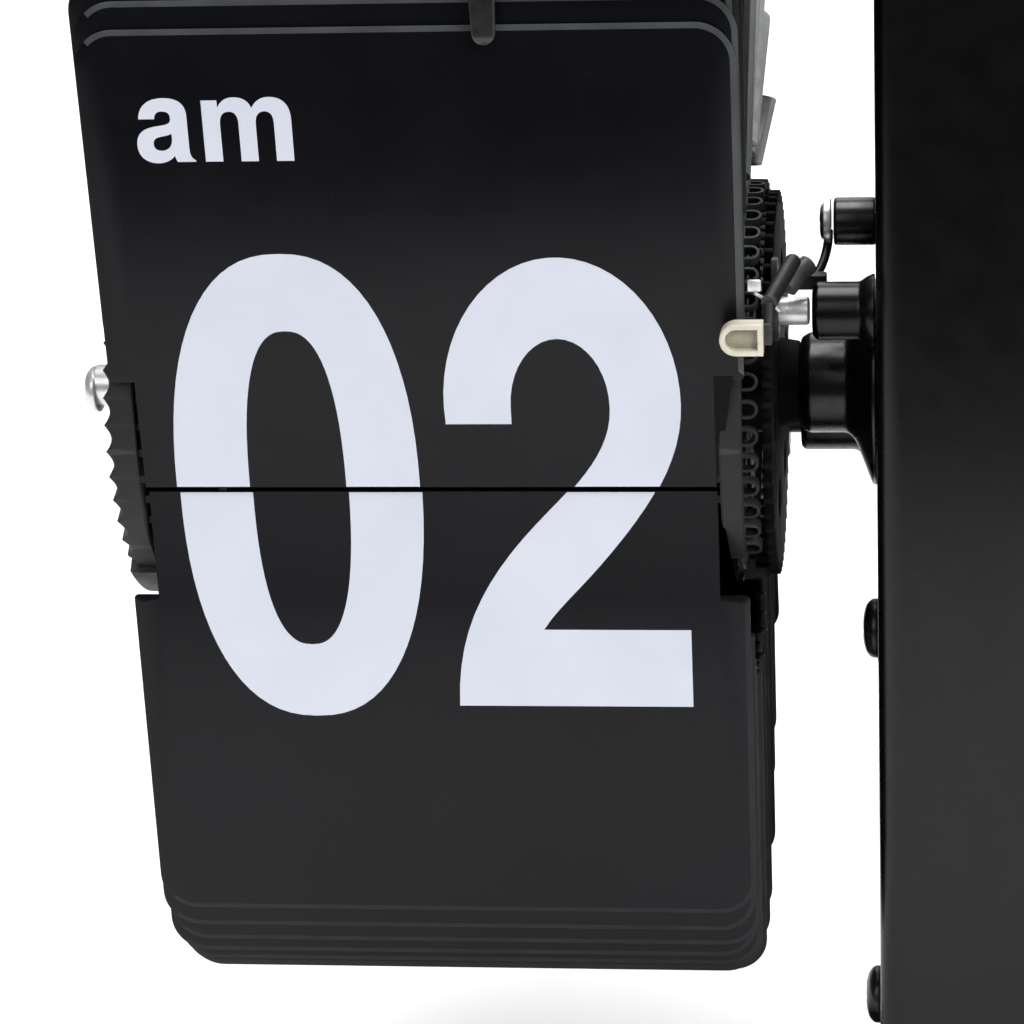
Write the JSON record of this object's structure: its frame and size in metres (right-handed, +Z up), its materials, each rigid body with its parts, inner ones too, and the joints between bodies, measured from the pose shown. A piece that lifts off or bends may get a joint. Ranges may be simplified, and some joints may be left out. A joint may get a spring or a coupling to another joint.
{
  "type": "flip number clock",
  "caption": "Caseless flip clock: two drums of split number leaves on axles either side of a square post on a flat base, driven by a geared movement inside the post.",
  "frame": {"origin": "centre of the rubber base pad's flat underside", "axes": "+Z up; +X along the drums from the hour side to the minute side; -Y towards the viewer, the side the number faces look to"},
  "size_m": [0.2188, 0.0788, 0.162],
  "materials": {
    "post_paint": "fine powder-coated black, satin",
    "base_rubber": "matte black rubber",
    "dark_screw": "blackened steel, satin",
    "movement_plastic": "plain white moulded plastic",
    "motor_can": "zinc-plated steel",
    "cell_jacket": "plain printed metal jacket, no lettering",
    "contact_steel": "nickel-plated spring steel",
    "bright_steel": "bright turned steel",
    "leaf_plastic": "smooth black printed plastic sheet, soft gloss",
    "drum_plastic": "dark grey moulded plastic",
    "black_plastic": "black moulded plastic",
    "cream_plastic": "cream moulded plastic"
  },
  "bodies": {
    "stand": {"base_pad": "base_rubber", "base_plate": "post_paint", "post_shell": "post_paint", "post_top_cap": "post_paint", "post_back_cover": "post_paint", "left_side_screw_upper": "dark_screw", "left_side_screw_lower": "dark_screw", "right_side_screw_upper": "dark_screw", "right_side_screw_lower": "dark_screw", "movement_gearbox": "movement_plastic", "movement_motor": "motor_can", "battery_cell": "cell_jacket", "battery_lower_contact": "contact_steel", "battery_upper_contact": "contact_steel", "hour_axle": "bright_steel", "hour_axle_boss": "post_paint", "minute_axle": "bright_steel", "minute_axle_boss": "post_paint", "hour_axle_screw": "bright_steel", "hour_catch_pin": "bright_steel", "hour_catch_sleeve": "post_paint", "hour_spring_rod": "post_paint", "hour_blade_spring": "bright_steel", "hour_finger_arm": "dark_screw", "hour_leaf_finger": "dark_screw", "hour_waiting_leaf": "leaf_plastic", "hour_standing_leaf": "leaf_plastic", "hour_bottom_leaf": "leaf_plastic", "hour_rear_upper_leaf": "leaf_plastic", "hour_rear_lower_leaf": "leaf_plastic", "minute_catch_pin": "bright_steel", "minute_catch_sleeve": "post_paint", "minute_spring_rod": "post_paint", "minute_blade_spring": "bright_steel", "minute_finger_arm": "dark_screw", "minute_leaf_finger": "dark_screw", "minute_waiting_leaf": "leaf_plastic", "minute_standing_leaf": "leaf_plastic", "minute_bottom_leaf": "leaf_plastic", "minute_rear_upper_leaf": "leaf_plastic", "minute_rear_lower_leaf": "leaf_plastic"},
    "hour_drum": {"hour_drum_core": "drum_plastic", "hour_drum_cheek_post_side": "drum_plastic", "hour_drum_cheek_far_side": "drum_plastic", "hour_drum_gear": "black_plastic"},
    "minute_drum": {"minute_drum_core": "drum_plastic", "minute_drum_cheek_post_side": "drum_plastic", "minute_drum_cheek_far_side": "drum_plastic", "minute_drum_gear": "black_plastic", "minute_setting_knob": "black_plastic"},
    "hour_drive": {"hour_drive_pinion": "bright_steel"},
    "hour_leaf": {"hour_top_leaf": "leaf_plastic"},
    "hour_catch": {"hour_catch_lever": "black_plastic", "hour_catch_tip": "cream_plastic"},
    "minute_drive": {"minute_drive_pinion": "bright_steel"},
    "minute_leaf": {"minute_top_leaf": "leaf_plastic"},
    "minute_catch": {"minute_catch_lever": "black_plastic", "minute_catch_tip": "cream_plastic"},
    "battery_door": {"battery_door": "post_paint"}
  },
  "joints": [
    {"name": "minute_drum_turn", "type": "hinge", "parent": "stand", "child": "minute_drum", "pos_m": [0.0641, 0, 0.105], "axis": [1, 0, 0], "continuous": true},
    {"name": "hour_drum_turn", "type": "hinge", "parent": "stand", "child": "hour_drum", "pos_m": [-0.0641, 0, 0.105], "axis": [1, 0, 0], "continuous": true},
    {"name": "minute_drive_turn", "type": "hinge", "parent": "stand", "child": "minute_drive", "pos_m": [0.0641, 0.02193, 0.09334], "axis": [1, 0, 0], "continuous": true},
    {"name": "hour_drive_turn", "type": "hinge", "parent": "stand", "child": "hour_drive", "pos_m": [-0.0641, 0.02193, 0.09334], "axis": [1, 0, 0], "continuous": true},
    {"name": "hour_leaf_fall", "type": "hinge", "parent": "stand", "child": "hour_leaf", "pos_m": [-0.0641, -0.022, 0.10181], "axis": [1, 0, 0], "range_deg": [0, 177], "deforming": ["hour_leaf_finger"]},
    {"name": "minute_leaf_fall", "type": "hinge", "parent": "stand", "child": "minute_leaf", "pos_m": [0.0641, -0.022, 0.10181], "axis": [1, 0, 0], "range_deg": [0, 177], "deforming": ["minute_leaf_finger"]},
    {"name": "hour_catch_swing", "type": "hinge", "parent": "stand", "child": "hour_catch", "pos_m": [-0.0641, -0.011, 0.1167], "axis": [-1, 0, 0], "range_deg": [-34, 10], "stiffness_Nm_per_rad": 0.002},
    {"name": "minute_catch_swing", "type": "hinge", "parent": "stand", "child": "minute_catch", "pos_m": [0.0641, -0.011, 0.1167], "axis": [-1, 0, 0], "range_deg": [-34, 10], "stiffness_Nm_per_rad": 0.002},
    {"name": "battery_door_hinge", "type": "hinge", "parent": "stand", "child": "battery_door", "pos_m": [0, 0.0278, 0.009], "axis": [-1, 0, 0], "range_deg": [0, 90]}
  ],
  "couplings": [
    {"joint": "hour_drum_turn", "follows": "minute_drum_turn", "ratio": 0.041667},
    {"joint": "minute_drive_turn", "follows": "minute_drum_turn", "ratio": -5},
    {"joint": "hour_drive_turn", "follows": "minute_drum_turn", "ratio": -0.20833}
  ]
}
